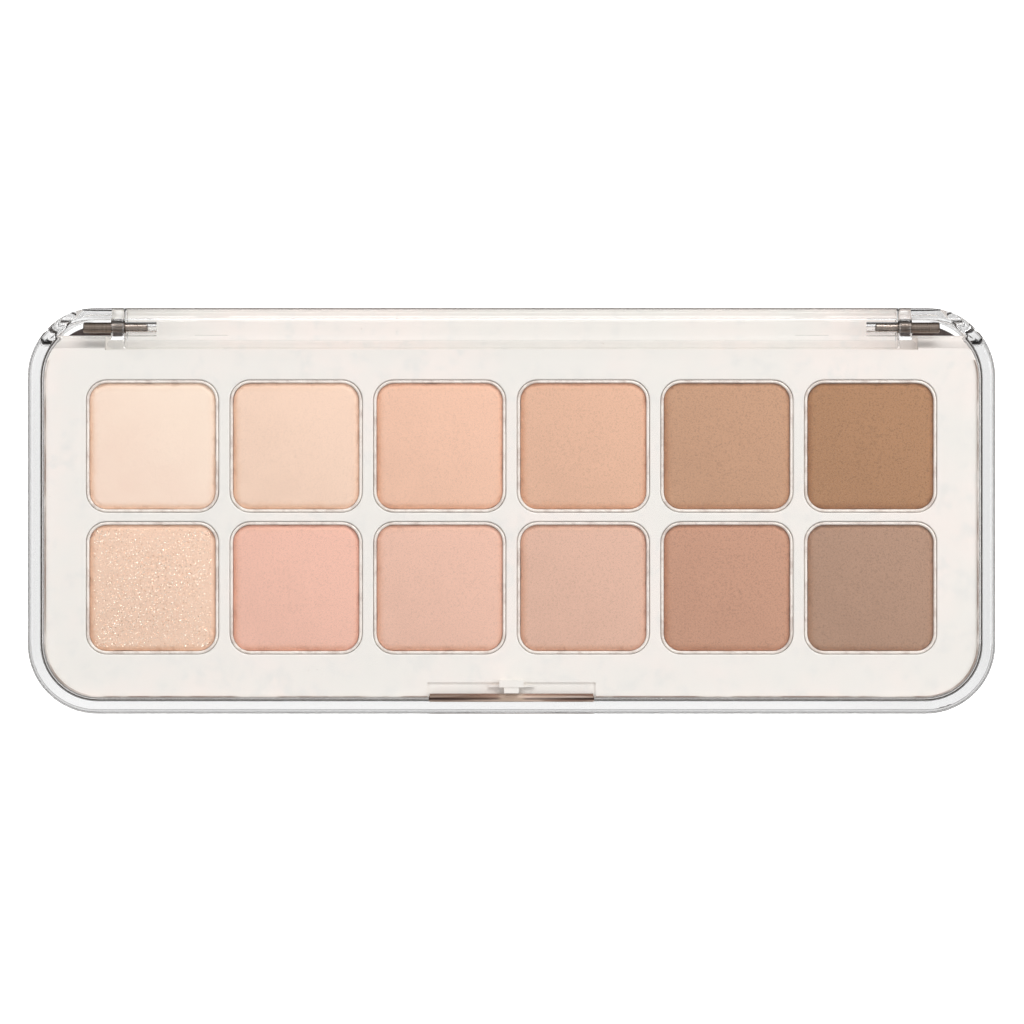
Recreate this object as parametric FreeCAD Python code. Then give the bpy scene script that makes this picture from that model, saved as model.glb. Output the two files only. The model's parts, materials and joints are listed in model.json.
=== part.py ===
import FreeCAD, Part
import math
import os

# Hinged eyeshadow palette: a clear case, a clear lid on two steel pins, and an ivory tray that
# holds twelve pressed powders in metal pans. Millimetres. The origin is the centre of the
# underside, +X runs along the case, +Y points to the hinge and +Z points up. The lid is closed.

# Wells in the tray, and the grid they form
columns = 6
rows = 2
well_side = 18.5
well_corner = 2.9
well_bridge_x = 1.5
well_bridge_y = 1.25
well_floor = 0.8
well_wall = 1.0
well_round = 0.2

# Tray border, from the outside of the case to the nearest wells
side_margin = 8.0
front_margin = 8.22
back_margin = 10.03

# Case and lid walls
corner_radius = 9.75
shell_wall = 1.7
floor_thickness = 1.2
plate_thickness = 1.5
bottom_round = 0.8
top_round = 0.9
lid_inside_round = 0.8
seam_round = 0.2
seam_height = 7.6
seam_gap = 0.1

# Tray
tray_clearance = 0.2
tray_plate = 1.2
tray_skirt = 1.0
space_under_wells = 2.7
lip_width = 0.55
lip_height = 0.35
lip_end_room = 1.4
lip_round = 0.15
lid_air_gap = 2.05

# Pans, the glue under them and the powder in them
pan_clearance = 0.15
pan_height = 3.1
pan_wall = 0.35
rim_recess = 0.1
glue_thickness = 0.2
glue_radius = 4.0
powder_below_rim = 0.2
powder_edge = 0.3

# Hinge: a long barrel on the case between two cheeks on the lid
barrel_radius = 2.8
barrel_land = 0.22
barrel_end_inset = 13.7
side_gap = 0.15
lid_turn_gap = 0.3
case_turn_gap = 0.25
cheek_width = 1.95
cheek_front = 1.75
ear_window_front = 1.15
ear_round = 0.45
notch_gap = 0.15
pin_radius = 0.75
pin_running_gap = 0.05
pin_end_room = 0.25
pin_in_barrel = 2.95
bore_end_room = 1.25
insertion_hole_gap = 0.05
rib_width = 1.0
rib_overhang = 2.85
rib_height = 1.8
rib_drop = 2.8
step_above_axis = 0.3
ledge_depth = 2.0
ledge_gap = 0.2
middle_ledge_gap = 0.25
crown_slot_length = 4.6
crown_slot_width = 0.4
crown_slot_depth = 0.3
crown_slot_inset = 9.55

# Latch: a bead inside the lid's front, and a T-shaped catch on the tray
bead_half = 11.5
bead_reach = 1.08
bead_bottom = 8.0
bead_height = 0.9
bead_chamfer = 0.25
notch_side_gap = 0.2
notch_depth = 2.62
notch_floor = 7.85
catch_head_half = 1.7
catch_head_depth = 1.0
catch_head_set_in = 0.33
catch_nose_half = 1.03
catch_nose_thickness = 0.6
catch_gap = 0.05
catch_lift = 0.1
catch_cap = 0.1
catch_foot_half = 3.2
catch_foot_depth = 0.3
catch_foot_height = 0.4

# Thumb scoop in the case's front wall, and the label under the case
scoop_half = 11.5
scoop_depth = 0.9
scoop_bottom = 3.9
label_length = 100.0
label_width = 34.0
label_corner = 3.0
label_recess = 0.25
label_thickness = 0.15
label_gap = 0.2

# How far a cutter runs past the case
outside = 5.0

# Sizes that follow
pitch_x = well_side + well_bridge_x
pitch_y = well_side + well_bridge_y
grid_length = columns * pitch_x - well_bridge_x
grid_width = rows * pitch_y - well_bridge_y
half_length = grid_length / 2 + side_margin
half_width = (grid_width + front_margin + back_margin) / 2
grid_front = -half_width + front_margin
grid_left = -grid_length / 2

tray_bottom = floor_thickness
wells_bottom = tray_bottom + space_under_wells
glue_bottom = wells_bottom + well_floor
pan_bottom = glue_bottom + glue_thickness
pan_top = pan_bottom + pan_height
tray_top = pan_top + rim_recess
lip_top = tray_top + lip_height
plate_bottom = lip_top + lid_air_gap
height = plate_bottom + plate_thickness
lid_bottom = seam_height + seam_gap
tray_inset = shell_wall + tray_clearance

axis_y = half_width - barrel_radius
axis_z = height - barrel_radius
barrel_half = half_length - barrel_end_inset
cheek_inner = barrel_half + side_gap
cheek_outer = cheek_inner + cheek_width
lid_turn_radius = barrel_radius + lid_turn_gap
case_turn_radius = barrel_radius + case_turn_gap
wall_inside_y = half_width - shell_wall
rib_front = axis_y - barrel_radius
rib_half = barrel_half + rib_overhang
rib_top = axis_z - rib_drop
rib_bottom = rib_top - rib_height
tray_back = rib_front - case_turn_gap
ledge_back = tray_back + ledge_depth
middle_ledge_back = wall_inside_y - middle_ledge_gap
ledge_top = rib_bottom - ledge_gap
pin_start = barrel_half - pin_in_barrel
pin_corner_y = axis_y + pin_radius - (half_width - corner_radius)
pin_corner_x = math.sqrt((corner_radius - shell_wall) ** 2 - pin_corner_y ** 2)
pin_end = half_length - corner_radius + pin_corner_x - pin_end_room
bore_start = pin_start - bore_end_room

skirt_inside_y = -half_width + shell_wall
bead_tip = skirt_inside_y + bead_reach
bead_top = bead_bottom + bead_height
notch_half = bead_half + notch_side_gap
notch_back = skirt_inside_y + notch_depth
catch_back = notch_back + catch_head_set_in
catch_front = catch_back - catch_head_depth
nose_tip = bead_tip + catch_gap
nose_bottom = bead_top + catch_lift
nose_top = nose_bottom + catch_nose_thickness


def block(x0, x1, y0, y1, z0, z1):
    """Box between two corners."""
    return Part.makeBox(x1 - x0, y1 - y0, z1 - z0, FreeCAD.Vector(x0, y0, z0))


def rounded_block(x0, x1, y0, y1, z0, z1, radius):
    """Box with rounded upright edges."""
    box = block(x0, x1, y0, y1, z0, z1)
    upright = [edge for edge in box.Edges if edge.BoundBox.ZLength > (z1 - z0) / 2]
    return box.makeFillet(radius, upright)


def case_block(inset, z0, z1):
    """The case's outline, moved inwards by a distance, between two heights."""
    x = half_length - inset
    y = half_width - inset
    return rounded_block(-x, x, -y, y, z0, z1, corner_radius - inset)


def rounded_rim(solid, level, radius):
    """Round every edge that lies at one height."""
    rim = [edge for edge in solid.Edges
           if abs(edge.BoundBox.ZMin - level) < 0.01 and abs(edge.BoundBox.ZMax - level) < 0.01]
    return solid.makeFillet(radius, rim)


def both_sides(shape):
    """The shape and its mirror image on the other side of the case's middle."""
    return [shape, shape.mirror(FreeCAD.Vector(0, 0, 0), FreeCAD.Vector(1, 0, 0))]


def rod(radius, x0, x1):
    """Round bar along the hinge axis."""
    return Part.makeCylinder(radius, x1 - x0, FreeCAD.Vector(x0, axis_y, axis_z), FreeCAD.Vector(1, 0, 0))


def hinge_point(x, radius, degrees):
    """Point about the hinge axis, where 0 degrees is backwards and 90 is up."""
    turn = math.radians(degrees)
    return FreeCAD.Vector(x, axis_y + radius * math.cos(turn), axis_z + radius * math.sin(turn))


def profile_bar(x0, x1, outline):
    """Bar along X. The outline holds points (y, z) and arcs (radius, first angle, last angle)."""
    edges = []
    corners = []
    for item in outline:
        if len(item) == 2:
            first = FreeCAD.Vector(x0, item[0], item[1])
            last = first
        else:
            radius, start, end = item
            first = hinge_point(x0, radius, start)
            last = hinge_point(x0, radius, end)
        if corners:
            edges.append(Part.makeLine(corners[-1], first))
        if len(item) == 3:
            middle = hinge_point(x0, radius, (start + end) / 2)
            edges.append(Part.Arc(first, middle, last).toShape())
        corners.extend([first, last])
    edges.append(Part.makeLine(corners[-1], corners[0]))
    return Part.Face(Part.Wire(edges)).extrude(FreeCAD.Vector(x1 - x0, 0, 0))


def well_places():
    """Name and centre of each well, front row first, from left to right."""
    for row in range(rows):
        row_name = ["front", "back"][row] if rows == 2 else f"row{row + 1}"
        for column in range(columns):
            x = grid_left + well_side / 2 + column * pitch_x
            y = grid_front + well_side / 2 + row * pitch_y
            yield f"{row_name}_{column + 1}", x, y


def square_block(x, y, side, z0, z1, radius):
    """Rounded square block about a centre."""
    half = side / 2
    return rounded_block(x - half, x + half, y - half, y + half, z0, z1, radius)


def barrel_bar():
    """Case's hinge barrel with a land on top, a step along the front over its rib, and its back wall."""
    land = math.degrees(math.acos(1 - barrel_land / barrel_radius))
    rib_meets = 180 + math.degrees(math.acos(1 - rib_width / barrel_radius))
    wall_meets = 360 - math.degrees(math.acos(1 - shell_wall / barrel_radius))
    outline = [
        (half_width, rib_bottom),
        (barrel_radius, 0, 90 - land),
        (barrel_radius, 90 + land, 180),
        (rib_front, rib_bottom),
        (rib_front + rib_width, rib_bottom),
        (barrel_radius, rib_meets, wall_meets),
        (wall_inside_y, rib_bottom),
    ]
    bar = profile_bar(-barrel_half, barrel_half, outline)
    step = block(-barrel_half, barrel_half, rib_front - outside, rib_front + rib_width,
                 axis_z + step_above_axis, height)
    return bar.cut(step)


def crown_slots():
    """Two shallow slots along the front edge of the barrel's land."""
    top = axis_z + barrel_radius - barrel_land
    land_half = math.sqrt(barrel_radius ** 2 - (barrel_radius - barrel_land) ** 2)
    end = barrel_half - crown_slot_inset
    y = axis_y - land_half
    slot = block(end - crown_slot_length, end, y, y + crown_slot_width, top - crown_slot_depth, height)
    return both_sides(slot)


def base_shell():
    """Clear case bottom with the hinge barrel, the scoop and the label recess."""
    outer = rounded_rim(case_block(0, 0, seam_height), 0, bottom_round)
    outer = rounded_rim(outer, seam_height, seam_round)
    shell = outer.cut(case_block(shell_wall, floor_thickness, height))
    ear_room = profile_bar(barrel_half, half_length + outside, [
        (axis_y - case_turn_radius, height),
        (case_turn_radius, 180, 270),
        (half_width + outside, axis_z - case_turn_radius),
        (half_width + outside, height),
    ])
    shell = shell.cut(both_sides(ear_room))
    rib_back = rib_front + rib_width
    rib = rounded_block(-rib_half, rib_half, rib_front, rib_back, rib_bottom, rib_top, rib_width * 0.49)
    shell = shell.fuse([barrel_bar(), rib])
    for bore in both_sides(rod(pin_radius + pin_running_gap, bore_start, barrel_half + side_gap)):
        shell = shell.cut(bore)
    shell = shell.cut(crown_slots())
    scoop_radius = (scoop_half ** 2 + scoop_depth ** 2) / (2 * scoop_depth)
    scoop_centre = FreeCAD.Vector(0, -half_width + scoop_depth - scoop_radius, scoop_bottom)
    shell = shell.cut(Part.makeCylinder(scoop_radius, height, scoop_centre))
    shell = shell.cut(label_plate(0, label_recess, 0))
    return shell.removeSplitter()


def label_plate(z0, z1, gap):
    """The label's outline, smaller by a gap all round, between two heights."""
    x = label_length / 2 - gap
    y = label_width / 2 - gap
    return rounded_block(-x, x, -y, y, z0, z1, label_corner - gap)


def base_label():
    """Blank label in the recess under the case."""
    return label_plate(label_recess - label_thickness, label_recess, label_gap)


def lid_body():
    """The lid before it is hollowed, with its back rounded about the hinge axis."""
    low = axis_z - barrel_radius
    outer = rounded_rim(case_block(0, low, height), height, top_round)
    seam_meets = 180 + math.degrees(math.asin((axis_z - lid_bottom) / barrel_radius))
    reach = half_length + outside
    kept = profile_bar(-reach, reach, [
        (-half_width - outside, lid_bottom),
        (barrel_radius, seam_meets, 450),
        (-half_width - outside, height),
    ])
    body = outer.common(kept)
    return rounded_rim(body, lid_bottom, seam_round)


def snap_bead():
    """Bead across the inside of the lid's front skirt, and the root that joins it to the plate."""
    bead = rounded_block(-bead_half, bead_half, skirt_inside_y - shell_wall / 2, bead_tip,
                         bead_bottom, bead_top, bead_reach / 2)
    tip = [edge for edge in bead.Edges
           if edge.BoundBox.YMin > bead_tip - 0.01 and edge.BoundBox.XLength > bead_half]
    root = block(-bead_half, bead_half, skirt_inside_y - shell_wall / 2, skirt_inside_y + lid_inside_round,
                 bead_bottom + bead_height / 2, plate_bottom + plate_thickness / 2)
    return bead.makeChamfer(bead_chamfer, tip).fuse(root)


def ear_windows():
    """Openings in the lid's plate over the pins, between each cheek and the corner."""
    low = plate_bottom - outside
    plan = case_block(shell_wall, low, height)
    window = plan.common(block(cheek_outer, half_length, axis_y - ear_window_front, half_width, low, height))
    return both_sides(window)


def window_rims(lid):
    """The edges round the tops of the ear windows."""
    front = axis_y - ear_window_front
    zone = FreeCAD.BoundBox(cheek_outer - 0.01, front - 0.01, height - 1.0,
                            half_length - shell_wall, wall_inside_y + 0.01, height + 0.01)
    right_rims = [edge for edge in lid.Edges if zone.isInside(edge.BoundBox)]
    zone = FreeCAD.BoundBox(-zone.XMax, zone.YMin, zone.ZMin, -zone.XMin, zone.YMax, zone.ZMax)
    return right_rims + [edge for edge in lid.Edges if zone.isInside(edge.BoundBox)]


def cheek_rims(lid):
    """The edges round the inner face of each cheek, from the plate over its round back."""
    rims = []
    for edge in lid.Edges:
        box = edge.BoundBox
        on_face = box.XLength < 0.01 and abs(abs(box.XMin) - cheek_inner) < 0.01
        if on_face and box.ZMax > height - 0.01:
            rims.append(edge)
    return rims


def lid_cover():
    """Clear lid with its skirt, hinge cheeks, ear windows, pin holes and snap bead."""
    body = lid_body()
    low = axis_z - barrel_radius - outside
    room = rounded_rim(case_block(shell_wall, low, plate_bottom), plate_bottom, lid_inside_round)
    cheek_y = axis_y - cheek_front
    cheeks = both_sides(block(cheek_inner, cheek_outer, cheek_y, half_width, low, height))
    notch_y = axis_y - barrel_radius - notch_gap
    notch = block(-cheek_inner, cheek_inner, notch_y, half_width + outside, low, height + outside)
    lid = body.cut(room.cut(cheeks))
    lid = lid.cut([notch, rod(lid_turn_radius, -cheek_inner, cheek_inner)]).fuse(snap_bead())
    for bore in both_sides(rod(pin_radius, cheek_inner - side_gap, cheek_outer + side_gap)):
        lid = lid.cut(bore)
    for hole in both_sides(rod(pin_radius + insertion_hole_gap, pin_end, half_length)):
        lid = lid.cut(hole)
    lid = lid.cut(ear_windows())
    lid = lid.makeFillet(ear_round, window_rims(lid))
    return lid.makeFillet(ear_round, cheek_rims(lid))


def hinge_pin():
    """Steel pin on the right, pressed in the cheek and running in the barrel."""
    pin = rod(pin_radius, pin_start, pin_end)
    ends = [edge for edge in pin.Edges if edge.BoundBox.XLength < pin_radius]
    return pin.makeChamfer(pin_radius / 5, ends)


def tray_outline(inset, z0, z1, back):
    """The tray's outline, moved inwards by a distance, up to a straight back edge."""
    plan = case_block(tray_inset + inset, z0, z1)
    reach = half_length + outside
    return plan.common(block(-reach, reach, -half_width, back, z0, z1))


def tray_lip():
    """Raised lip along the front and sides."""
    lip = tray_outline(0, tray_top, lip_top, tray_back - lip_end_room)
    lip = lip.cut(case_block(tray_inset + lip_width, tray_top, lip_top))
    return rounded_rim(lip, lip_top, lip_round)


def tray_hollows():
    """Room under the tray's plate and under its rear ledge."""
    under_plate = tray_outline(tray_skirt, tray_bottom, tray_top - tray_plate, tray_back - tray_skirt)
    under_ledge = tray_outline(tray_skirt, tray_bottom, ledge_top - tray_plate, ledge_back - tray_skirt)
    middle = barrel_half - tray_skirt
    under_middle = block(-middle, middle, tray_back, middle_ledge_back - tray_skirt,
                         tray_bottom, ledge_top - tray_plate)
    return [under_plate, under_ledge, under_middle]


def well_block():
    """Solid from which the wells are cut, one wall wider than the grid."""
    return block(grid_left - well_wall, -grid_left + well_wall,
                 grid_front - well_wall, grid_front + grid_width + well_wall,
                 wells_bottom, tray_top - tray_plate / 2)


def well_mouths(tray):
    """The edges round the tops of the wells."""
    margin = well_wall / 2
    zone = FreeCAD.BoundBox(grid_left - margin, grid_front - margin, tray_top - 0.01,
                            -grid_left + margin, grid_front + grid_width + margin, tray_top + 0.01)
    return [edge for edge in tray.Edges if zone.isInside(edge.BoundBox)]


def pan_tray():
    """Ivory tray with its wells, lip, latch notch and rear ledge, deeper under the barrel."""
    middle_ledge = block(-barrel_half, barrel_half, tray_back, middle_ledge_back, tray_bottom, ledge_top)
    tray = tray_outline(0, tray_bottom, tray_top, ledge_back).fuse(middle_ledge)
    tray = tray.cut(rod(case_turn_radius, -half_length, half_length))
    rib_room = rib_half + case_turn_gap
    tray = tray.cut(block(-rib_room, rib_room, tray_back, half_width, ledge_top, height))
    tray = tray.cut(tray_hollows())
    notch_wall = notch_half + well_wall
    notch_box = block(-notch_wall, notch_wall, -half_width, notch_back + well_wall,
                      notch_floor - tray_plate, tray_top)
    notch_box = notch_box.common(tray_outline(0, tray_bottom, tray_top, tray_back))
    tray = tray.fuse([tray_lip(), well_block(), notch_box])
    tray = tray.cut(block(-notch_half, notch_half, -half_width, notch_back, notch_floor, height))
    tray = tray.cut(block(-catch_head_half, catch_head_half, catch_front, catch_back,
                          notch_floor - tray_plate, height))
    wells = [square_block(x, y, well_side, glue_bottom, height, well_corner)
             for name, x, y in well_places()]
    tray = tray.cut(wells).removeSplitter()
    return tray.makeFillet(well_round, well_mouths(tray))


def latch_catch():
    """T-shaped catch pressed into the tray, with a nose that faces the lid's bead."""
    head = block(-catch_head_half, catch_head_half, catch_front, catch_back,
                 notch_floor - tray_plate, nose_top + catch_cap)
    nose = block(-catch_nose_half, catch_nose_half, nose_tip, catch_front, nose_bottom, nose_top)
    foot = block(-catch_foot_half, catch_foot_half, catch_front, catch_front + catch_foot_depth,
                 notch_floor, notch_floor + catch_foot_height)
    return head.fuse([nose, foot]).removeSplitter()


def pan(x, y):
    """Metal pan, an open square cup."""
    side = well_side - 2 * pan_clearance
    radius = well_corner - pan_clearance
    cup = square_block(x, y, side, pan_bottom, pan_top, radius)
    inside = square_block(x, y, side - 2 * pan_wall, pan_bottom + pan_wall, height, radius - pan_wall)
    return cup.cut(inside)


def powder(x, y):
    """Pressed powder that fills its pan, bevelled round the top."""
    side = well_side - 2 * (pan_clearance + pan_wall)
    radius = well_corner - pan_clearance - pan_wall
    top = pan_top - powder_below_rim
    cake = square_block(x, y, side, pan_bottom + pan_wall, top, radius)
    rim = [edge for edge in cake.Edges if edge.BoundBox.ZMin > top - 0.01]
    return cake.makeChamfer(powder_edge, rim)


def glue_dots():
    """One disc of glue under each pan."""
    discs = [Part.makeCylinder(glue_radius, glue_thickness, FreeCAD.Vector(x, y, glue_bottom))
             for name, x, y in well_places()]
    return Part.makeCompound(discs)


def write(name, shape):
    """Write one node as a STEP file."""
    shape.exportStep(f"parts/{name}.step")


os.makedirs("parts", exist_ok=True)
write("base_shell", base_shell())
write("base_label", base_label())
write("pan_tray", pan_tray())
write("latch_catch", latch_catch())
write("pan_glue_dots", glue_dots())
for name, x, y in well_places():
    write(f"pan_{name}", pan(x, y))
    write(f"powder_{name}", powder(x, y))
write("lid_cover", lid_cover())
right_pin, left_pin = both_sides(hinge_pin())
write("hinge_pin_right", right_pin)
write("hinge_pin_left", left_pin)
print(f"case {2 * half_length:.2f} x {2 * half_width:.2f} x {height:.2f}")
print(f"hinge axis y {axis_y:.3f} z {axis_z:.3f}")
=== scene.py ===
import json
import math

import bpy
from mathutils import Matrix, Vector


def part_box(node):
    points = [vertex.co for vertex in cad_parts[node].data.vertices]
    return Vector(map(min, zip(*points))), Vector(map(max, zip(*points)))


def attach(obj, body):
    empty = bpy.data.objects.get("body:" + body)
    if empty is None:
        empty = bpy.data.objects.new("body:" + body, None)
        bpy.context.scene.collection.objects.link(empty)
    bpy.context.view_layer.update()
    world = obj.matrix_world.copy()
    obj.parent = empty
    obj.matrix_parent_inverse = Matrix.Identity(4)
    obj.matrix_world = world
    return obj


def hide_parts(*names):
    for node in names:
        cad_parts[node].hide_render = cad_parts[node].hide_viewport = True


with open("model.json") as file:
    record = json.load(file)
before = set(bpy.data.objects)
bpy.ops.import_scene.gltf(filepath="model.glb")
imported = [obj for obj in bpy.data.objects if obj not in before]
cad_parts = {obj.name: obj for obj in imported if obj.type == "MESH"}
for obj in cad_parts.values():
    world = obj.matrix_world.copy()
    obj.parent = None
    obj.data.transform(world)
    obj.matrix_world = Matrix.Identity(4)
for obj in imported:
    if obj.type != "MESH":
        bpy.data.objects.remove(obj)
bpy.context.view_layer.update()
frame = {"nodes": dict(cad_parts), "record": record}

# Looks of a hinged eyeshadow palette: clear case and lid, ivory tray, twelve pressed powders in
# drawn metal pans. Metres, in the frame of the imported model: +X along the case, +Y to the hinge.

MM = 0.001

# Camera
LENS_MM = 300.0
SENSOR_MM = 36.0
VIEW_WIDTH = 142.5 * MM          # what the frame spans at the level below
VIEW_LEVEL = 9.5 * MM
VIEW_CENTRE_X = 0.07 * MM
VIEW_CENTRE_Y = -0.2 * MM

# Table
TABLE_REACH = 0.16
TABLE_LEVEL = -0.03 * MM
TABLE_GLOW = 0.74                # near the case, for light that clear edges bend
TABLE_SEEN = 1.2                 # straight on, so that it reads as pure white
TABLE_LIT = 5.0 * MM
# Where the case keeps light off the table
SHADE_X = 65.5 * MM
SHADE_Y = -0.3 * MM
SHADE_HALF_Y = 26.3 * MM
SHADE_CORNER = 8.0 * MM

# Room: rises of a ray (sine of its elevation) where the walls turn from dark to bright, and the
# top from bright to dim
ROOM_BRIGHT = (0.26, 0.46)
ROOM_DIM = (0.93, 0.99)
ROOM_DIM_BY = 0.55
ROOM_LEVEL = 0.81
ROOM_DARK = (0.05, 0.032, 0.025, 1.0)
ROOM_SEEN = (1.02, 1.02, 1.02, 1.0)

# Pans and powders, beyond what the frame says
PAN_WALL = 0.42 * MM
PAN_FLOOR = 0.35 * MM
PAN_CORNER = 2.85 * MM
POWDER_CORNER = 2.4 * MM
PAN_RIPPLE = 0.03 * MM
PAN_SPREAD = 0.2 * MM
POWDER_CROWN = 0.24 * MM
POWDER_SET_DOWN = 0.05 * MM
POWDER_ROLL = 0.26 * MM
POWDER_CHIPS = 0.14 * MM
POWDER_GRAIN = 0.035 * MM
POWDER_CELLS = 112

PEARL_COUNT = 28.0e6             # flakes a square metre
PEARL_SIZE = 0.052 * MM
PEARL_INSET = 1.2 * MM
PEARL_SINK = 0.03 * MM

# Crumbs of powder along each rim
CRUMBS = 70
CRUMB_LEAST = 0.02 * MM
CRUMB_MOST = 0.09 * MM
CRUMB_SPREAD = 0.22 * MM
CRUMB_INSET = 0.35 * MM          # how much smaller their square is than the powder's
CRUMB_SINK = 0.15 * MM

# Height from which the tray's lip stands up, and from which its painted brown reflection starts
LIP_FOOT = 8.16 * MM

# Dark brown bar inside the clear latch bead, a painted reflection
BEAD_REFLECTION_CENTRE = (0.0, -26.05 * MM, 8.45 * MM)
BEAD_REFLECTION_HALF_LENGTH = 11.4 * MM
BEAD_REFLECTION_HALF_DEPTH = 0.57 * MM
BEAD_REFLECTION_HALF_HEIGHT = 0.4 * MM

# Soft boxes: name, place, width and height, power in watts
LAMPS = [
    ("back_box", (0.2, 0.8, 0.72), (0.9, 0.35), 5.26),
    ("left_box", (-0.8, 0.1, 0.7), (0.35, 0.8), 1.32),
    ("right_box", (0.8, 0.1, 0.7), (0.35, 0.8), 2.63),
]

# Shade of each powder as it reads in daylight, 0 to 1, and how much it glitters
SHADES = {
    "front_1": ((0.925, 0.786, 0.693), 1.0),
    "front_2": ((0.916, 0.717, 0.641), 0.15),
    "front_3": ((0.896, 0.718, 0.637), 0.10),
    "front_4": ((0.858, 0.689, 0.605), 0.10),
    "front_5": ((0.757, 0.566, 0.465), 0.12),
    "front_6": ((0.672, 0.530, 0.440), 0.10),
    "back_1": ((0.973, 0.859, 0.785), 0.05),
    "back_2": ((0.941, 0.810, 0.723), 0.05),
    "back_3": ((0.924, 0.742, 0.640), 0.08),
    "back_4": ((0.876, 0.693, 0.583), 0.10),
    "back_5": ((0.756, 0.580, 0.458), 0.12),
    "back_6": ((0.669, 0.490, 0.346), 0.12),
}


def linear(colour):
    """Daylight colour to the linear values that shaders use."""
    return tuple((c / 12.92) if c <= 0.04045 else ((c + 0.055) / 1.055) ** 2.4 for c in colour)


# ---------------------------------------------------------------- node arithmetic

def put(tree, value, socket):
    """Feed a socket from a field or with a constant."""
    if isinstance(value, Field):
        tree.links.new(value.socket, socket)
    else:
        socket.default_value = value


class Field:
    """A value that varies over a piece: the output of a node, with arithmetic."""

    def __init__(self, tree, socket):
        self.tree = tree
        self.socket = socket

    def math(self, operation, *others):
        node = self.tree.nodes.new("ShaderNodeMath")
        node.operation = operation
        for socket, value in zip(node.inputs, (self,) + others):
            put(self.tree, value, socket)
        return Field(self.tree, node.outputs[0])

    def __add__(self, other):
        return self.math("ADD", other)

    def __sub__(self, other):
        return self.math("SUBTRACT", other)

    def __mul__(self, other):
        return self.math("MULTIPLY", other)

    def __truediv__(self, other):
        return self.math("DIVIDE", other)

    def __abs__(self):
        return self.math("ABSOLUTE")

    def top(self, other):
        return self.math("MAXIMUM", other)

    def low(self, other):
        return self.math("MINIMUM", other)

    def less_from(self, whole):
        """whole minus this."""
        return self.math("MULTIPLY_ADD", -1.0, whole)

    def smooth(self, start, end):
        """0 at start, 1 at end, eased between."""
        node = self.tree.nodes.new("ShaderNodeMapRange")
        node.interpolation_type = "SMOOTHSTEP"
        put(self.tree, self, node.inputs["Value"])
        put(self.tree, start, node.inputs["From Min"])
        put(self.tree, end, node.inputs["From Max"])
        return Field(self.tree, node.outputs["Result"])


def node(tree, kind, **settings):
    """Add a node and set its properties."""
    made = tree.nodes.new(kind)
    for name, value in settings.items():
        setattr(made, name, value)
    return made


def noise(tree, place, scale, detail=2.0, roughness=0.5, seed=0.0):
    """Noise field between 0 and 1. The scale is in cells a metre."""
    made = node(tree, "ShaderNodeTexNoise", noise_dimensions="4D")
    put(tree, place, made.inputs["Vector"])
    put(tree, seed, made.inputs["W"])
    made.inputs["Scale"].default_value = scale
    made.inputs["Detail"].default_value = detail
    made.inputs["Roughness"].default_value = roughness
    return Field(tree, made.outputs[0])


def apart(tree, vector):
    """The three parts of a vector field."""
    made = node(tree, "ShaderNodeSeparateXYZ")
    put(tree, vector, made.inputs[0])
    return [Field(tree, socket) for socket in made.outputs]


def together(tree, x, y, z):
    """A vector field from three parts."""
    made = node(tree, "ShaderNodeCombineXYZ")
    for socket, value in zip(made.inputs, (x, y, z)):
        put(tree, value, socket)
    return Field(tree, made.outputs[0])


# ---------------------------------------------------------------- geometry recipes

SOCKETS = {float: "NodeSocketFloat", int: "NodeSocketInt", "vector": "NodeSocketVector",
           "material": "NodeSocketMaterial"}


class Recipe:
    """A Geometry Nodes tree with named inputs, and the pieces made from it."""

    def __init__(self, name, **kinds):
        self.tree = bpy.data.node_groups.new(name, "GeometryNodeTree")
        self.given = node(self.tree, "NodeGroupInput")
        self.names = {}
        for label, kind in kinds.items():
            made = self.tree.interface.new_socket(label, in_out="INPUT", socket_type=SOCKETS[kind])
            self.names[label] = made.identifier
        self.tree.interface.new_socket("Piece", in_out="OUTPUT", socket_type="NodeSocketGeometry")

    def __getitem__(self, label):
        return Field(self.tree, self.given.outputs[label])

    def add(self, kind, inputs=(), output=0, **settings):
        """Add a node, feed its inputs by name or place, and return one of its outputs."""
        made = node(self.tree, kind, **settings)
        for label, value in dict(inputs).items():
            put(self.tree, value, made.inputs[label])
        return Field(self.tree, made.outputs[output])

    def join(self, *parts):
        made = node(self.tree, "GeometryNodeJoinGeometry")
        for part in reversed(parts):
            self.tree.links.new(part.socket, made.inputs[0])
        return Field(self.tree, made.outputs[0])

    def random_vector(self, low, high, seed):
        """A random vector for each point, between two corners."""
        made = node(self.tree, "FunctionNodeRandomValue", data_type="FLOAT_VECTOR")
        put(self.tree, low, made.inputs["Min"])
        put(self.tree, high, made.inputs["Max"])
        put(self.tree, seed, made.inputs["Seed"])
        return Field(self.tree, made.outputs[0])

    def end(self, geometry, smooth=True):
        """Close the tree: real geometry, shading and material."""
        geometry = self.add("GeometryNodeRealizeInstances", {"Geometry": geometry})
        geometry = self.add("GeometryNodeSetShadeSmooth", {"Geometry": geometry, "Shade Smooth": smooth})
        geometry = self.add("GeometryNodeSetMaterial", {"Geometry": geometry, "Material": self["Material"]})
        out = node(self.tree, "NodeGroupOutput")
        put(self.tree, geometry, out.inputs[0])

    def make(self, name, **values):
        """One plain mesh object from this recipe."""
        piece = bpy.data.objects.new(name, bpy.data.meshes.new(name))
        bpy.context.scene.collection.objects.link(piece)
        modifier = piece.modifiers.new("recipe", "NODES")
        modifier.node_group = self.tree
        for label, value in values.items():
            modifier[self.names[label]] = value
        seen = piece.evaluated_get(bpy.context.evaluated_depsgraph_get())
        mesh = bpy.data.meshes.new_from_object(seen)
        piece.modifiers.remove(modifier)
        piece.data = mesh
        mesh.name = name
        return piece


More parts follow.
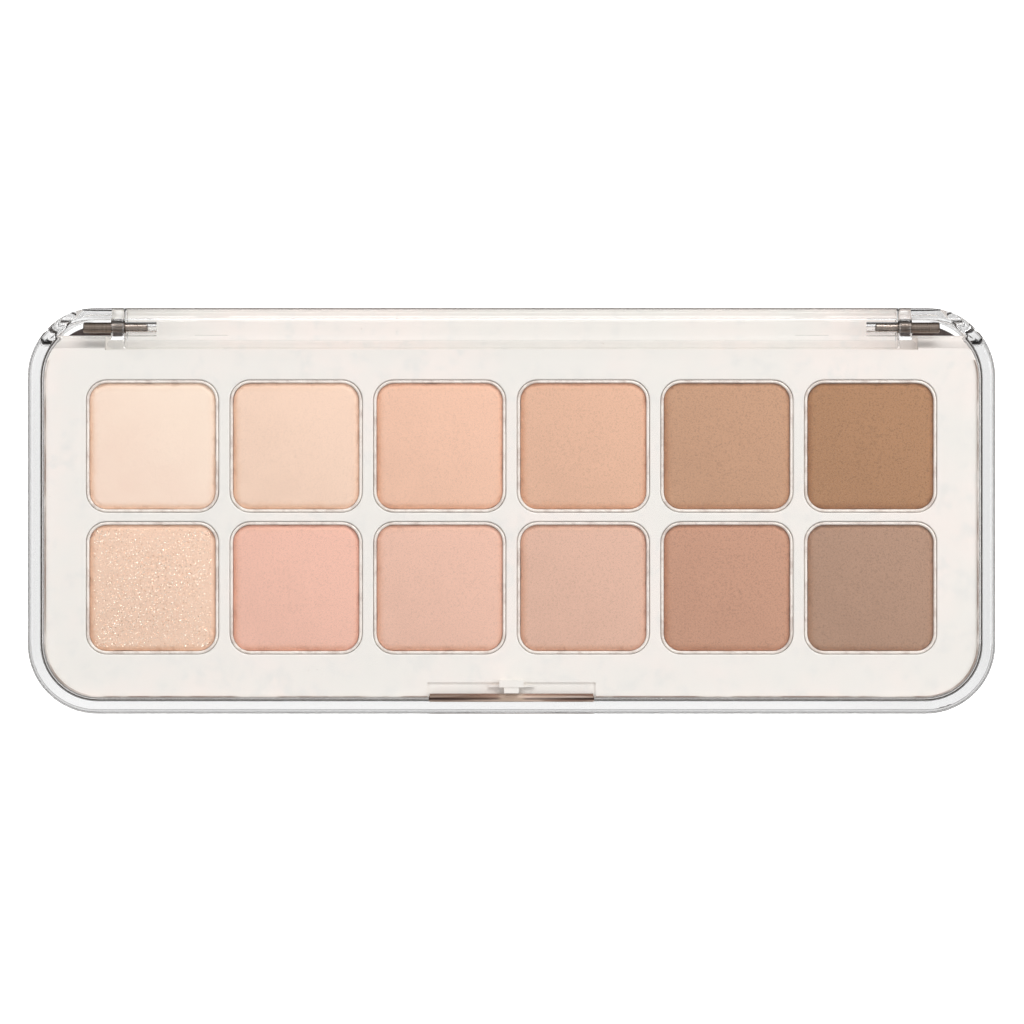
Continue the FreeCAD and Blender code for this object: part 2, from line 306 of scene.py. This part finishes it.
def rounded_square(recipe, x, y, half, corner):
    """Bend a square grid to a rounded square: new x, new y and the distance in from the edge."""
    straight = corner.less_from(half)
    over_x = (abs(x) - straight).top(0.0)
    over_y = (abs(y) - straight).top(0.0)
    reach = (over_x * over_x + over_y * over_y).math("SQRT")
    pull = over_x.top(over_y) / reach.top(1e-9)
    new_x = (abs(x).low(straight) + over_x * pull) * x.math("SIGN")
    new_y = (abs(y).low(straight) + over_y * pull) * y.math("SIGN")
    far_x = abs(new_x) - straight
    far_y = abs(new_y) - straight
    round_x = far_x.top(0.0)
    round_y = far_y.top(0.0)
    outside = (round_x * round_x + round_y * round_y).math("SQRT") + far_x.top(far_y).low(0.0)
    return new_x, new_y, outside.less_from(corner)


def powder_recipe():
    """Pressed powder: a rounded square cake with a crown, rolled and crumbled edges and a grain."""
    r = Recipe("pressed_powder", Side=float, Corner=float, Thickness=float, Crown=float, Roll=float,
               Chips=float, Grain=float, Cells=int, Seed=float, Place="vector", Material="material")
    size = together(r.tree, r["Side"], r["Side"], 1.0)
    cake = r.add("GeometryNodeMeshCube", {"Size": size, "Vertices X": r["Cells"], "Vertices Y": r["Cells"],
                                          "Vertices Z": 2})
    place = r.add("GeometryNodeInputPosition")
    x, y, z = apart(r.tree, place)
    half = r["Side"] * 0.5
    new_x, new_y, inward = rounded_square(r, x, y, half, r["Corner"])
    upper = z.math("GREATER_THAN", 0.0)
    flat = together(r.tree, new_x, new_y, 0.0)
    seed = r["Seed"]
    # edge: a soft roll, deeper where bits have broken away
    roll = inward.smooth(0.0, 0.9 * MM).less_from(1.0)
    roll = roll * roll * r["Roll"]
    bite = noise(r.tree, flat, 620.0, 4.0, 0.62, seed)
    chips = bite.smooth(0.50, 0.60) * inward.smooth(0.15 * MM, 0.75 * MM).less_from(1.0) * r["Chips"]
    # face: crown, slow press marks and fine grain
    crown_x = (x / half).math("POWER", 2.0).less_from(1.0)
    crown_y = (y / half).math("POWER", 2.0).less_from(1.0)
    crown = crown_x * crown_y * r["Crown"]
    slow = (noise(r.tree, flat, 160.0, 2.0, 0.5, seed + 3.0) - 0.5) * (0.05 * MM)
    grain = (noise(r.tree, flat, 2600.0, 3.0, 0.65, seed + 7.0) - 0.5) * r["Grain"]
    height = r["Thickness"] + crown + slow + grain - roll - chips
    # the top's outline wanders in a little
    wander = noise(r.tree, flat, 420.0, 3.0, 0.6, seed + 11.0).smooth(0.45, 0.80) * 0.07
    shrink = (wander * upper * inward.smooth(0.0, 0.9 * MM).less_from(1.0) * MM / half).less_from(1.0)
    moved = together(r.tree, new_x * shrink, new_y * shrink, height * upper)
    cake = r.add("GeometryNodeSetPosition", {"Geometry": cake, "Position": moved})
    cake = r.add("GeometryNodeTransform", {"Geometry": cake, "Translation": r["Place"]})
    r.end(cake)
    return r


def pan_recipe():
    """Drawn pan: a thin wall round a rounded square, rolled at the rim, and a flat floor."""
    r = Recipe("drawn_pan", Side=float, Corner=float, Height=float, Wall=float, Floor=float,
               Ripple=float, Seed=float, Place="vector", Material="material")
    middle = r["Side"] - r["Wall"]
    path = r.add("GeometryNodeCurvePrimitiveQuadrilateral", {"Width": middle, "Height": middle})
    bend = r["Corner"] - r["Wall"] * 0.5
    path = r.add("GeometryNodeFilletCurve", {"Curve": path, "Radius": bend, "Count": 12}, mode="POLY")
    path = r.add("GeometryNodeResampleCurve", {"Curve": path, "Count": 220}, mode="COUNT")
    path = r.add("GeometryNodeSetCurveNormal", {"Curve": path}, mode="Z_UP")
    wall = r.add("GeometryNodeCurvePrimitiveQuadrilateral", {"Width": r["Wall"], "Height": r["Height"]})
    wall = r.add("GeometryNodeFilletCurve", {"Curve": wall, "Radius": r["Wall"] * 0.48, "Count": 4},
                 mode="POLY")
    ring = r.add("GeometryNodeCurveToMesh", {"Curve": path, "Profile Curve": wall})
    place = r.add("GeometryNodeInputPosition")
    x, y, z = apart(r.tree, place)
    ripple = (noise(r.tree, place, 260.0, 2.0, 0.5, r["Seed"]) - 0.5) * r["Ripple"]
    rise = z.smooth(0.0, 1.2 * MM) * ripple
    shift = together(r.tree, rise, rise, rise * 0.4)
    ring = r.add("GeometryNodeSetPosition", {"Geometry": ring, "Offset": shift})
    lift = together(r.tree, 0.0, 0.0, r["Height"] * 0.5)
    ring = r.add("GeometryNodeTransform", {"Geometry": ring, "Translation": lift})
    sheet = r.add("GeometryNodeFillCurve", {"Curve": path})
    up = together(r.tree, 0.0, 0.0, r["Floor"])
    floor_top = r.add("GeometryNodeExtrudeMesh", {"Mesh": sheet, "Offset": up, "Individual": False})
    floor_low = r.add("GeometryNodeFlipFaces", {"Mesh": sheet})
    floor = r.add("GeometryNodeMergeByDistance", {"Geometry": r.join(floor_top, floor_low)})
    pan = r.join(ring, floor)
    pan = r.add("GeometryNodeTransform", {"Geometry": pan, "Translation": r["Place"]})
    r.end(pan)
    return r


def crumb_recipe():
    """Crumbs of powder scattered along the inside of a pan's rim."""
    r = Recipe("powder_crumbs", Side=float, Corner=float, Count=int, Least=float, Most=float,
               Spread=float, Seed=int, Place="vector", Material="material")
    path = r.add("GeometryNodeCurvePrimitiveQuadrilateral", {"Width": r["Side"], "Height": r["Side"]})
    path = r.add("GeometryNodeFilletCurve", {"Curve": path, "Radius": r["Corner"], "Count": 10}, mode="POLY")
    points = r.add("GeometryNodeCurveToPoints", {"Curve": path, "Count": r["Count"]}, mode="COUNT")
    reach = r["Spread"]
    low = together(r.tree, reach * -1.0, reach * -1.0, 0.0)
    high = together(r.tree, reach, reach, reach * 0.15)
    stray = r.random_vector(low, high, r["Seed"])
    points = r.add("GeometryNodeSetPosition", {"Geometry": points, "Offset": stray})
    bit = r.add("GeometryNodeMeshIcoSphere", {"Radius": 1.0, "Subdivisions": 1})
    turn = r.random_vector((0.0, 0.0, 0.0), (math.tau, math.tau, math.tau), r["Seed"] + 1.0)
    least = together(r.tree, r["Least"], r["Least"], r["Least"] * 0.6)
    most = together(r.tree, r["Most"], r["Most"], r["Most"] * 0.7)
    size = r.random_vector(least, most, r["Seed"] + 2.0)
    crumbs = r.add("GeometryNodeInstanceOnPoints", {"Points": points, "Instance": bit,
                                                    "Rotation": turn, "Scale": size})
    crumbs = r.add("GeometryNodeTransform", {"Geometry": crumbs, "Translation": r["Place"]})
    r.end(crumbs, smooth=False)
    return r


def glitter_recipe():
    """Flakes of pearl lying at all angles on a powder's crowned face."""
    r = Recipe("pearl_flakes", Side=float, Crown=float, Count=float, Size=float, Seed=int, Place="vector",
               Material="material")
    field = r.add("GeometryNodeMeshGrid", {"Size X": r["Side"], "Size Y": r["Side"], "Vertices X": 2,
                                           "Vertices Y": 2})
    points = r.add("GeometryNodeDistributePointsOnFaces", {"Mesh": field, "Density": r["Count"],
                                                           "Seed": r["Seed"]})
    x, y, z = apart(r.tree, r.add("GeometryNodeInputPosition"))
    half = r["Side"] * 0.5
    fall_x = (x / half).math("POWER", 2.0).less_from(1.0)
    fall_y = (y / half).math("POWER", 2.0).less_from(1.0)
    rise = together(r.tree, 0.0, 0.0, fall_x * fall_y * r["Crown"])
    points = r.add("GeometryNodeSetPosition", {"Geometry": points, "Offset": rise})
    flake = r.add("GeometryNodeMeshCircle", {"Vertices": 6, "Radius": r["Size"]}, fill_type="NGON")
    thick = r.add("GeometryNodeExtrudeMesh", {"Mesh": flake, "Offset Scale": r["Size"] * 0.12})
    back = r.add("GeometryNodeFlipFaces", {"Mesh": flake})
    flake = r.add("GeometryNodeMergeByDistance", {"Geometry": r.join(thick, back), "Distance": 1e-7})
    turn = r.random_vector((-0.5, -0.5, 0.0), (0.5, 0.5, math.tau), r["Seed"] + 1.0)
    size = node(r.tree, "FunctionNodeRandomValue", data_type="FLOAT")
    size.inputs[2].default_value = 0.4
    size.inputs[3].default_value = 1.3
    put(r.tree, r["Seed"] + 2.0, size.inputs["Seed"])
    flakes = r.add("GeometryNodeInstanceOnPoints", {"Points": points, "Instance": flake, "Rotation": turn,
                                                    "Scale": Field(r.tree, size.outputs[1])})
    flakes = r.add("GeometryNodeTransform", {"Geometry": flakes, "Translation": r["Place"]})
    r.end(flakes, smooth=False)
    return r


# ---------------------------------------------------------------- materials

class Finish:
    """A procedural material round one Principled shader."""

    def __init__(self, name, colour, roughness, **constants):
        self.material = bpy.data.materials.new(name)
        self.material.use_nodes = True
        self.tree = self.material.node_tree
        self.shader = self.tree.nodes["Principled BSDF"]
        self.end = self.tree.nodes["Material Output"]
        self.colour = linear(colour)
        self.shader.inputs["Base Color"].default_value = (*self.colour, 1.0)
        self.shader.inputs["Roughness"].default_value = roughness
        for label, value in constants.items():
            self.shader.inputs[label.replace("_", " ")].default_value = value
        place = node(self.tree, "ShaderNodeTexCoord")
        self.place = Field(self.tree, place.outputs["Object"])

    def noise(self, scale, detail=2.0, roughness=0.5, seed=0.0):
        return noise(self.tree, self.place, scale, detail, roughness, seed)

    def paint(self, amount, colour):
        """Mix another colour in by a field."""
        made = node(self.tree, "ShaderNodeMix", data_type="RGBA")
        put(self.tree, amount, made.inputs[0])
        base = self.shader.inputs["Base Color"]
        if base.is_linked:
            self.tree.links.new(base.links[0].from_socket, made.inputs[6])
        else:
            made.inputs[6].default_value = (*self.colour, 1.0)
        made.inputs[7].default_value = (*linear(colour), 1.0)
        self.tree.links.new(made.outputs[2], base)

    def set(self, label, field):
        put(self.tree, field, self.shader.inputs[label])

    def bump(self, height, distance, strength=1.0):
        """Height field in a layer over any bump that is there already."""
        made = node(self.tree, "ShaderNodeBump")
        made.inputs["Strength"].default_value = strength
        made.inputs["Distance"].default_value = distance
        put(self.tree, height, made.inputs["Height"])
        normal = self.shader.inputs["Normal"]
        if normal.is_linked:
            self.tree.links.new(normal.links[0].from_socket, made.inputs["Normal"])
        self.tree.links.new(made.outputs["Normal"], normal)


def clear_plastic(name, tint, roughness):
    """Polished clear plastic that lets lamp light through to what it covers, with painted dark shade where
    it is seen at a glancing angle.
    """
    f = Finish(name, tint, roughness, Transmission_Weight=1.0, IOR=1.49)
    edge = node(f.tree, "ShaderNodeLayerWeight")
    edge.inputs["Blend"].default_value = 0.5
    steep = Field(f.tree, edge.outputs["Facing"])
    # Painted shade: dark brownish and partly opaque where the surface is seen at a glancing angle, for the
    # dark lines along clear edges
    f.paint(steep.smooth(0.42, 0.85), (0.33, 0.29, 0.265))
    f.set("Transmission Weight", (steep.smooth(0.60, 0.95) * 0.65).less_from(1.0))
    f.bump(f.noise(90.0, 1.0, 0.4), 0.02 * MM, 0.25)
    surface = f.shader.outputs[0]
    rays = node(f.tree, "ShaderNodeLightPath")
    for kind in ("Is Diffuse Ray", "Is Shadow Ray"):
        through = node(f.tree, "ShaderNodeBsdfTransparent")
        through.inputs["Color"].default_value = (0.96, 0.96, 0.96, 1.0)
        mix = node(f.tree, "ShaderNodeMixShader")
        f.tree.links.new(rays.outputs[kind], mix.inputs[0])
        f.tree.links.new(surface, mix.inputs[1])
        f.tree.links.new(through.outputs[0], mix.inputs[2])
        surface = mix.outputs[0]
    f.tree.links.new(surface, f.end.inputs["Surface"])
    return f.material


def ivory_plastic(name, lip_foot=None):
    """Soft-gloss moulded ivory, a little uneven in tone, with a patchy brownish reflection painted on a lip
    above its foot.
    """
    f = Finish(name, (0.955, 0.940, 0.917), 0.34, IOR=1.5, Coat_Weight=0.15, Coat_Roughness=0.2)
    f.paint(f.noise(60.0, 3.0, 0.6).smooth(0.42, 0.68) * 0.9, (0.985, 0.945, 0.920))
    f.paint(f.noise(420.0, 4.0, 0.65, 4.0).smooth(0.48, 0.70) * 0.65, (0.920, 0.912, 0.895))
    f.paint(f.noise(1900.0, 2.0, 0.5, 8.0).smooth(0.74, 0.80) * 0.8, (0.76, 0.71, 0.67))
    if lip_foot is not None:
        x, y, z = apart(f.tree, f.place)
        lip = z.smooth(lip_foot, lip_foot + 0.1 * MM)
        # Painted reflection: a patchy brownish band on the lip above its foot
        lip_reflection_patches = f.noise(170.0, 3.0, 0.6, 12.0).smooth(0.32, 0.62) * 0.75 + 0.25
        f.paint(lip * lip_reflection_patches, (0.58, 0.50, 0.455))
    f.set("Roughness", f.noise(300.0, 2.0, 0.5, 2.0) * 0.16 + 0.26)
    f.bump(f.noise(1400.0, 3.0, 0.55, 6.0), 0.012 * MM, 0.5)
    return f.material


def pan_metal():
    """Drawn aluminium with a satin skin and faint draw marks."""
    f = Finish("drawn_aluminium", (0.95, 0.92, 0.89), 0.45, Metallic=0.22)
    f.paint(f.noise(500.0, 4.0, 0.6).smooth(0.42, 0.66) * 0.7, (0.78, 0.71, 0.67))
    f.set("Roughness", f.noise(800.0, 2.0, 0.5, 5.0) * 0.22 + 0.34)
    f.bump(f.noise(2500.0, 3.0, 0.6, 1.0), 0.006 * MM, 0.6)
    return f.material


def pin_steel():
    """Ground steel wire, marked round its length."""
    f = Finish("ground_steel", (0.60, 0.55, 0.51), 0.28, Metallic=1.0)
    x, y, z = apart(f.tree, f.place)
    rings = noise(f.tree, together(f.tree, x * 40.0, y, z), 260.0, 3.0, 0.6)
    f.paint(rings.smooth(0.35, 0.75) * 0.6, (0.40, 0.33, 0.29))
    f.set("Roughness", rings * 0.25 + 0.18)
    f.bump(rings, 0.01 * MM, 0.5)
    return f.material


def label_film():
    """Blank matt label film with a soft fibre."""
    f = Finish("label_film", (0.955, 0.950, 0.940), 0.6)
    f.paint(f.noise(1500.0, 4.0, 0.7).smooth(0.4, 0.8) * 0.3, (0.90, 0.895, 0.885))
    f.bump(f.noise(2200.0, 3.0, 0.6, 3.0), 0.008 * MM, 0.5)
    return f.material


def glue():
    """Yellowish hot-melt glue."""
    f = Finish("pan_glue", (0.86, 0.82, 0.70), 0.25, Transmission_Weight=0.35)
    f.paint(f.noise(500.0, 2.0).smooth(0.4, 0.7) * 0.3, (0.80, 0.76, 0.62))
    f.bump(f.noise(350.0, 2.0, 0.5, 2.0), 0.05 * MM, 0.6)
    return f.material


def bead_painted_reflection():
    """Painted reflection in the clear latch bead: brown, with painted dark and light streaks, a dark middle
    band, browner towards the back and lighter at the centre of its length.
    """
    f = Finish("bead_painted_reflection", (0.90, 0.79, 0.72), 0.22)
    x, y, z = apart(f.tree, f.place)
    streak_place = together(f.tree, x * 0.05, y, z)
    # Painted reflection: dark and light streaks along the bar
    f.paint(noise(f.tree, streak_place, 1700.0, 2.0, 0.6).smooth(0.45, 0.58) * 0.8, (0.60, 0.46, 0.39))
    f.paint(noise(f.tree, streak_place, 2900.0, 2.0, 0.6, 3.0).smooth(0.54, 0.64) * 0.8, (0.95, 0.87, 0.82))
    # Painted reflection: a dark band down the middle, browner towards the back, lighter at the centre of the
    # length
    painted_dark_band = abs(y + 26.18 * MM).smooth(0.08 * MM, 0.24 * MM).less_from(1.0)
    f.paint((y + 25.95 * MM).smooth(0.0, 0.3 * MM) * 0.8, (0.60, 0.45, 0.37))
    f.paint(painted_dark_band * (abs(x) / BEAD_REFLECTION_HALF_LENGTH * 0.4 + 0.6), (0.22, 0.11, 0.07))
    f.paint(abs(x).smooth(1.2 * MM, 2.2 * MM).less_from(1.0) * 0.75, (0.80, 0.70, 0.62))
    f.bump(noise(f.tree, streak_place, 900.0, 2.0), 0.03 * MM, 0.5)
    return f.material


def powder_finish(name, colour, glitter, seed, centre, half):
    """Pressed powder: matt, with pigment specks, a pearl that catches the light, painted light from the back
    right and painted shade round the edges.
    """
    f = Finish("powder_" + name, colour, 0.85, Sheen_Weight=0.12, Sheen_Roughness=0.5)
    paler = tuple(min(1.0, c * 1.05 + 0.014) for c in colour)
    deeper = tuple(c * 0.85 for c in colour)
    edge_shade_colour = (colour[0] * 0.955, colour[1] * 0.87, colour[2] * 0.78)
    x, y, z = apart(f.tree, f.place)
    from_x = x - centre[0]
    from_y = y - centre[1]
    # Painted light: lighter towards the back right, darker towards the front left, as the lamps fall across
    # the crowned face
    f.paint((from_x + from_y * 1.2).smooth(-2.2 * half, 2.2 * half) * 0.8, paler)
    f.paint(f.noise(240.0, 3.0, 0.6, seed).smooth(0.35, 0.7) * 0.3, paler)
    # Painted shade: a warmer, darker band round the edge, strongest towards the front left, where the rolled
    # edge turns away from the lamps
    inward = (abs(from_x).top(abs(from_y))).less_from(half)
    reach = f.noise(700.0, 3.0, 0.6, seed + 9.0) * (1.6 * MM) + 0.5 * MM
    edge_shade_weight = (from_x + from_y).smooth(-half, half).less_from(1.0) * 0.45 + 0.2
    f.paint(inward.smooth(0.0, reach).less_from(1.0) * edge_shade_weight, edge_shade_colour)
    grain = 0.2 + (0.867 - sum(colour) / 3) * 2.2
    f.paint(f.noise(4200.0, 3.0, 0.7, seed + 1.0).smooth(0.46, 0.70) * grain, deeper)
    f.paint(f.noise(4800.0, 2.0, 0.6, seed + 2.0).smooth(0.54, 0.72) * (grain + 0.5 * glitter), paler)
    pearl = f.noise(6500.0, 1.0, 0.5, seed + 5.0).smooth(0.58, 0.70)
    f.set("Metallic", pearl * (0.10 + 0.45 * glitter))
    f.set("Roughness", (pearl * (0.25 + 0.25 * glitter)).less_from(0.86))
    f.bump(f.noise(4200.0, 3.0, 0.6, seed + 3.0), 0.03 * MM, 0.6)
    f.bump(f.noise(1300.0, 3.0, 0.6, seed + 4.0), 0.04 * MM, 0.35)
    return f.material


def pearl_flake():
    """Champagne pearl flakes."""
    f = Finish("pearl_flake", (0.86, 0.66, 0.52), 0.22, Metallic=0.75)
    f.paint(f.noise(5200.0, 1.0).smooth(0.46, 0.54), (1.0, 0.98, 0.93))
    return f.material


# ---------------------------------------------------------------- stage

def straight_ray(tree, ahead=0.0):
    """1 for a ray from the eye that has gone straight on, through one clear sheet at most.

    The depth that a backdrop reads runs ahead of the one that a surface reads.
    """
    path = node(tree, "ShaderNodeLightPath")
    bends = Field(tree, path.outputs["Ray Depth"]) - ahead
    passes = Field(tree, path.outputs["Transmission Depth"])
    one_sheet = (bends - passes).math("LESS_THAN", 0.5) * bends.math("LESS_THAN", 2.5)
    through = one_sheet * Field(tree, path.outputs["Is Transmission Ray"])
    return through.top(Field(tree, path.outputs["Is Camera Ray"]))


def make_camera():
    """Straight down on the closed lid from far enough to keep the walls upright."""
    lens = bpy.data.cameras.new("camera")
    lens.lens = LENS_MM
    lens.sensor_width = SENSOR_MM
    lens.clip_start = 0.01
    lens.clip_end = 20.0
    camera = bpy.data.objects.new("camera", lens)
    distance = VIEW_WIDTH * LENS_MM / SENSOR_MM
    camera.location = (VIEW_CENTRE_X, VIEW_CENTRE_Y, VIEW_LEVEL + distance)
    bpy.context.scene.collection.objects.link(camera)
    bpy.context.scene.camera = camera


def make_floor():
    """White table top, not much wider than the view: lit, glowing near the case, with painted shade under
    the case and painted dark beyond the glow.
    """
    mesh = bpy.data.meshes.new("table_top")
    turns = [math.tau * step / 96 for step in range(96)]
    rim = [(TABLE_REACH * math.cos(turn), TABLE_REACH * math.sin(turn), TABLE_LEVEL) for turn in turns]
    mesh.from_pydata(rim, [], [tuple(range(96))])
    floor = bpy.data.objects.new("table_top", mesh)
    bpy.context.scene.collection.objects.link(floor)
    f = Finish("table_white", (0.58, 0.58, 0.58), 0.9)
    f.shader.inputs["Emission Color"].default_value = (1.0, 1.0, 1.0, 1.0)
    x, y, z = apart(f.tree, f.place)
    over_x = (abs(x) - (SHADE_X - SHADE_CORNER)).top(0.0)
    over_y = (abs(y - SHADE_Y) - (SHADE_HALF_Y - SHADE_CORNER)).top(0.0)
    reach = (over_x * over_x + over_y * over_y).math("SQRT")
    shade = reach.smooth(SHADE_CORNER - 0.1 * MM, SHADE_CORNER + 0.1 * MM).less_from(1.0)
    far = reach.smooth(SHADE_CORNER + TABLE_LIT, SHADE_CORNER + 2 * TABLE_LIT)
    # Painted dark beyond the glow, which clear edges pick up as dark lines
    f.paint(far, (0.16, 0.15, 0.14))
    f.paint(shade, (0.23, 0.17, 0.15))
    # Painted light: the glow is stronger towards the front and weaker towards the right, evening out the
    # lamps' light on the table
    uneven = (y * -1.0).smooth(18.0 * MM, 28.0 * MM) * 0.2 - x.smooth(40.0 * MM, 66.0 * MM) * 0.14
    glow = shade.top(far).less_from(1.0) * (uneven + 1.0) * TABLE_GLOW
    f.set("Emission Strength", glow.top(straight_ray(f.tree) * shade.less_from(1.0) * TABLE_SEEN))
    mesh.materials.append(f.material)


def make_world():
    """White room: dim straight overhead, bright round it, dark low down where clear edges pick it up."""
    world = bpy.data.worlds.new("room")
    bpy.context.scene.world = world
    world.use_nodes = True
    tree = world.node_tree
    back = tree.nodes["Background"]
    ray = node(tree, "ShaderNodeTexCoord")
    x, y, z = apart(tree, Field(tree, ray.outputs["Generated"]))
    above = z.smooth(*ROOM_BRIGHT)
    dim_top = z.smooth(*ROOM_DIM) * ROOM_DIM_BY
    level = above * dim_top.less_from(1.0) * ROOM_LEVEL
    glow = node(tree, "ShaderNodeMix", data_type="RGBA")
    put(tree, above, glow.inputs[0])
    glow.inputs[6].default_value = ROOM_DARK
    put(tree, together(tree, level, level, level), glow.inputs[7])
    shown = node(tree, "ShaderNodeMix", data_type="RGBA")
    put(tree, straight_ray(tree, 1.0), shown.inputs[0])
    tree.links.new(glow.outputs[2], shown.inputs[6])
    shown.inputs[7].default_value = ROOM_SEEN
    tree.links.new(shown.outputs[2], back.inputs["Color"])
    back.inputs["Strength"].default_value = 1.0


def make_lamp(name, place, size, power):
    """Soft box that faces the palette."""
    lamp = bpy.data.lights.new(name, "AREA")
    lamp.shape = "RECTANGLE"
    lamp.size, lamp.size_y = size
    lamp.energy = power
    holder = bpy.data.objects.new(name, lamp)
    holder.location = place
    holder.rotation_euler = (-holder.location).to_track_quat("-Z", "Y").to_euler()
    bpy.context.scene.collection.objects.link(holder)


# ---------------------------------------------------------------- pieces

def middle(node_name):
    """Centre of a CAD node in plan, its lowest point, and its size."""
    low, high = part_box(node_name)
    size = [b - a for a, b in zip(low, high)]
    return (low[0] + high[0]) / 2, (low[1] + high[1]) / 2, low[2], size


def place_piece(piece, body, slot_name, *nodes):
    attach(piece, body)
    if nodes:
        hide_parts(*nodes)


def dress(node_name, material):
    """Give a CAD node its material."""
    mesh = frame["nodes"][node_name].data
    mesh.materials.clear()
    mesh.materials.append(material)


def round_bar(name, centre, half_length, half_depth, half_height, material):
    """Bar along X with a flattened round section and round ends."""
    around = 28
    cap = 10
    stations = []
    for step in range(cap + 1):
        turn = math.pi / 2 * step / cap
        stations.append((-half_length + half_depth * (1 - math.cos(math.pi / 2 - turn)), math.sin(turn)))
    stations = stations[1:] + [(-x, scale) for x, scale in reversed(stations[1:])]
    points = [(centre[0] - half_length, centre[1], centre[2])]
    for x, scale in stations:
        for step in range(around):
            turn = math.tau * step / around
            points.append((centre[0] + x, centre[1] + scale * half_depth * math.cos(turn),
                           centre[2] + scale * half_height * math.sin(turn)))
    points.append((centre[0] + half_length, centre[1], centre[2]))
    faces = []
    last = len(points) - 1
    for step in range(around):
        after = (step + 1) % around
        faces.append((0, 1 + after, 1 + step))
        faces.append((last, last - around + step, last - around + after))
        for ring in range(len(stations) - 1):
            low = 1 + ring * around
            faces.append((low + step, low + after, low + around + after, low + around + step))
    mesh = bpy.data.meshes.new(name)
    mesh.from_pydata(points, [], faces)
    mesh.polygons.foreach_set("use_smooth", [True] * len(faces))
    mesh.materials.append(material)
    bar = bpy.data.objects.new(name, mesh)
    bpy.context.scene.collection.objects.link(bar)
    return bar


def slot_of(node_name):
    """The record's material slot of a CAD node."""
    for part in frame["record"]["subparts"]:
        if part["node"] == node_name:
            return part["material_slot"]


bpy.context.scene.view_settings.view_transform = "Standard"
make_camera()
make_floor()
make_world()
for lamp_name, lamp_place, lamp_size, lamp_power in LAMPS:
    make_lamp(lamp_name, lamp_place, lamp_size, lamp_power)

clear_lid = clear_plastic("clear_lid", (0.995, 0.995, 0.995), 0.01)
clear_case = clear_plastic("clear_case", (0.985, 0.985, 0.985), 0.02)
dress("lid_cover", clear_lid)
dress("base_shell", clear_case)
dress("pan_tray", ivory_plastic("ivory_moulding", LIP_FOOT))
dress("latch_catch", ivory_plastic("ivory_catch"))
dress("base_label", label_film())
dress("pan_glue_dots", glue())
steel = pin_steel()
dress("hinge_pin_left", steel)
dress("hinge_pin_right", steel)

# A dark brown bar in the clear latch bead, a painted reflection that moves with the lid
bead = round_bar("latch_bead_reflection_bar", BEAD_REFLECTION_CENTRE, BEAD_REFLECTION_HALF_LENGTH, BEAD_REFLECTION_HALF_DEPTH, BEAD_REFLECTION_HALF_HEIGHT,
                 bead_painted_reflection())
place_piece(bead, "lid", slot_of("lid_cover"))

powders = powder_recipe()
pans = pan_recipe()
crumbs = crumb_recipe()
metal = pan_metal()
for order, (name, (colour, glitter)) in enumerate(SHADES.items()):
    pan_x, pan_y, pan_z, pan_size = middle("pan_" + name)
    pan_piece = pans.make("drawn_pan_" + name, Side=pan_size[0] + PAN_SPREAD, Corner=PAN_CORNER,
                          Height=pan_size[2], Wall=PAN_WALL, Floor=PAN_FLOOR, Ripple=PAN_RIPPLE,
                          Seed=float(order), Place=(pan_x, pan_y, pan_z), Material=metal)
    place_piece(pan_piece, "base", slot_of("pan_" + name), "pan_" + name)
    low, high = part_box("powder_" + name)
    side = high[0] - low[0]
    finish = powder_finish(name, colour, glitter, order * 2.3, (pan_x, pan_y), side / 2)
    cake = powders.make("pressed_powder_" + name, Side=side, Corner=POWDER_CORNER,
                        Thickness=high[2] - low[2] - POWDER_SET_DOWN, Crown=POWDER_CROWN, Roll=POWDER_ROLL,
                        Chips=POWDER_CHIPS, Grain=POWDER_GRAIN, Cells=POWDER_CELLS, Seed=order * 5.1,
                        Place=(pan_x, pan_y, low[2]), Material=finish)
    place_piece(cake, "base", slot_of("powder_" + name), "powder_" + name)
    bits = crumbs.make("powder_crumbs_" + name, Side=side - CRUMB_INSET, Corner=POWDER_CORNER, Count=CRUMBS,
                       Least=CRUMB_LEAST, Most=CRUMB_MOST, Spread=CRUMB_SPREAD, Seed=order * 7,
                       Place=(pan_x, pan_y, high[2] - CRUMB_SINK), Material=finish)
    place_piece(bits, "base", slot_of("powder_" + name))

flake_x, flake_y, flake_z, flake_size = middle("powder_front_1")
flakes = glitter_recipe().make("pearl_flakes_front_1", Side=flake_size[0] - PEARL_INSET, Crown=POWDER_CROWN,
                               Count=PEARL_COUNT, Size=PEARL_SIZE, Seed=11,
                               Place=(flake_x, flake_y, flake_z + flake_size[2] - PEARL_SINK),
                               Material=pearl_flake())
place_piece(flakes, "base", slot_of("powder_front_1"))
